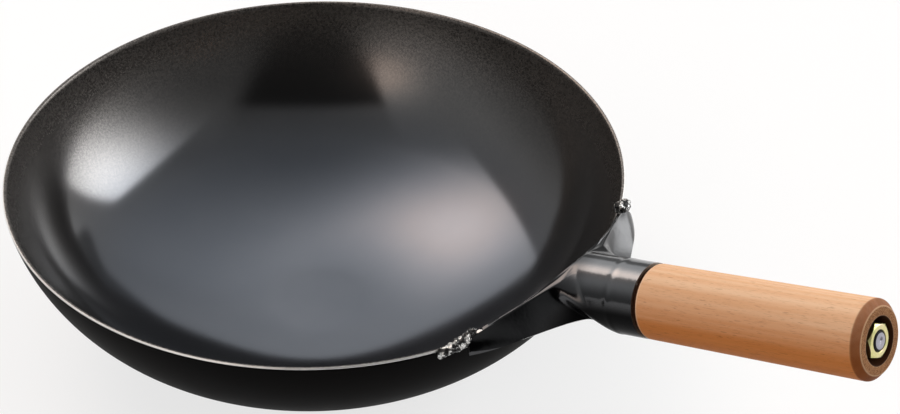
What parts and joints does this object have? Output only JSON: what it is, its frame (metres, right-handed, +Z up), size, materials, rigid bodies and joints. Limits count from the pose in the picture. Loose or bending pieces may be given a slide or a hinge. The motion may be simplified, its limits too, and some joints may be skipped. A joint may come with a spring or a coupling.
{
  "type": "frying pan",
  "caption": "Round-bottomed iron frying pan with a small ground flat, a sheet-steel handle socket welded to its rim, and a turned wooden handle held by a through bolt and nut.",
  "frame": {"origin": "centre of the flat on the underside, on the surface that the pan stands on", "axes": "+X from the bowl along the handle, +Z up, the pan's symmetry plane is XZ"},
  "size_m": [0.4167, 0.27, 0.1319],
  "materials": {
    "blued_iron": "blued and polished, bare on the ground rim edge",
    "black_sheet_steel": "blued, glossy",
    "weld_steel": "rough, as welded",
    "bare_steel": "plain, satin",
    "beech": "turned, oiled, satin",
    "yellow_zinc": "yellow-passivated zinc on steel, semi-gloss"
  },
  "bodies": {
    "pan": {"pan_bowl": "blued_iron", "handle_socket": "black_sheet_steel", "near_weld": "weld_steel", "far_weld": "weld_steel", "anchor_disc": "bare_steel", "anchor_weld": "weld_steel", "tie_bolt": "bare_steel", "wooden_handle": "beech"},
    "loose_washer": {"washer": "bare_steel"},
    "nut": {"hex_nut": "yellow_zinc"}
  },
  "joints": [
    {"name": "washer_slide", "type": "slide", "parent": "pan", "child": "loose_washer", "axis": [0.9588, 0, 0.284], "range_m": [0, 0.0063]},
    {"name": "nut_turn", "type": "hinge", "parent": "loose_washer", "child": "nut", "pos_m": [0.27475, 0, 0.11639], "axis": [0.9588, 0, 0.284], "range_deg": [0, 1800]}
  ],
  "couplings": [
    {"joint": "washer_slide", "follows": "nut_turn", "m_per_rad": 0.00019894}
  ]
}
